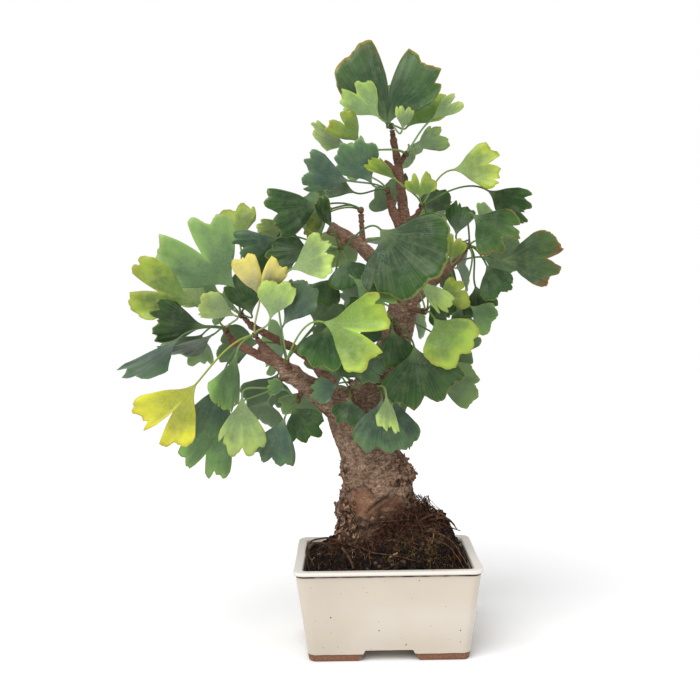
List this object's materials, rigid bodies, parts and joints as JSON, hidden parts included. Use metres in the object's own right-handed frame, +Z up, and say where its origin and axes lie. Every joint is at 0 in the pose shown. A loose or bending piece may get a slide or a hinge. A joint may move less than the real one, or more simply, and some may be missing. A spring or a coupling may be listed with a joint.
{
  "type": "ginkgo bonsai",
  "caption": "Small ginkgo bonsai with a stout curved trunk, spreading boughs, bunches of fan-shaped leaves on spurs, and a tapered rectangular ceramic pot with corner feet",
  "frame": {"origin": "on the table under the middle of the whole tree's box", "axes": "+Z up along the tree, +X to the right in the front view, -Y towards the viewer"},
  "size_m": [0.2878, 0.1764, 0.3947],
  "materials": {
    "glaze": "ivory gloss glaze with a few dark specks, bare brown clay at the feet",
    "earth": "dark potting soil with roots, grit and moss",
    "bark": "grey-brown fissured bark with bare reddish patches",
    "leaf": "satin leaf skin with fine radiating veins",
    "screen_plastic": "black plastic mesh"
  },
  "bodies": {
    "root": {"drain_screen_left": "screen_plastic", "drain_screen_right": "screen_plastic", "leaves_back_bough": "leaf", "leaves_back_branch": "leaf", "leaves_back_fork": "leaf", "leaves_back_leader": "leaf", "leaves_back_low": "leaf", "leaves_back_stem": "leaf", "leaves_bough_node": "leaf", "leaves_bough_tip": "leaf", "leaves_bough_under": "leaf", "leaves_cut_stub_end": "leaf", "leaves_fork_front": "leaf", "leaves_fork_left": "leaf", "leaves_leader_side": "leaf", "leaves_leader_top": "leaf", "leaves_left_stub_top": "leaf", "leaves_right_low": "leaf", "leaves_right_stub_top": "leaf", "leaves_right_tip": "leaf", "leaves_stem_front": "leaf", "leaves_stem_low": "leaf", "leaves_stub_twig": "leaf", "leaves_thick_stub_top": "leaf", "leaves_upper_branch_tip": "leaf", "pot": "glaze", "soil": "earth", "wood": "bark"}
  },
  "joints": []
}
